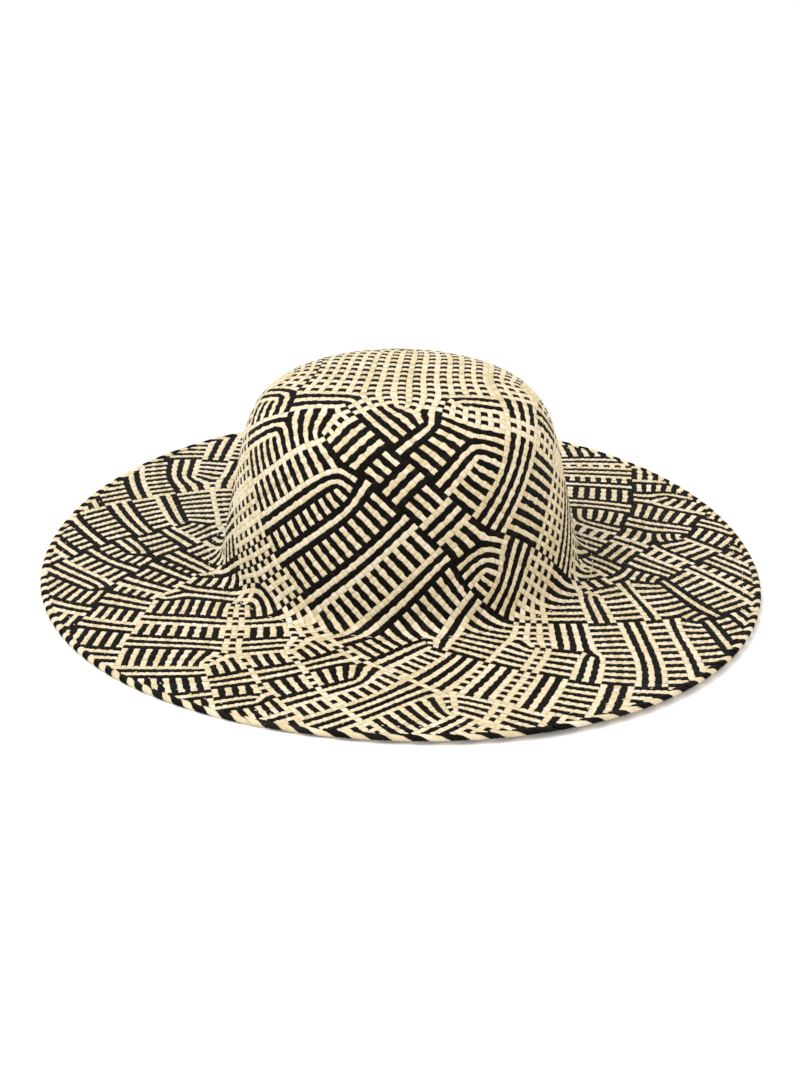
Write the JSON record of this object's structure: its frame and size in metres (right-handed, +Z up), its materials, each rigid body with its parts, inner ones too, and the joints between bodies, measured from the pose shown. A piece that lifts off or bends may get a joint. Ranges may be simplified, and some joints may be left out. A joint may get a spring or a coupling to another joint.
{
  "type": "straw hat",
  "caption": "Wide-brimmed hat of plain-woven straw strands in natural and black, with a gently domed round crown and a nearly flat brim whose edge strands are turned back.",
  "frame": {"origin": "on the surface that the hat stands on, below the middle of the brim's outline", "axes": "+Z up through the crown; the oval crown's long axis is 9 degrees clockwise of +X, seen from above"},
  "size_m": [0.386, 0.394, 0.1093],
  "materials": {
    "natural_straw": "matt, flat cream straw strands with a fine grain along them",
    "black_straw": "matt, dyed black straw strands with a fine grain along them",
    "sewing_thread": "thin twisted pale thread"
  },
  "bodies": {
    "root": {"crown": "natural_straw", "brim": "natural_straw"}
  },
  "joints": []
}
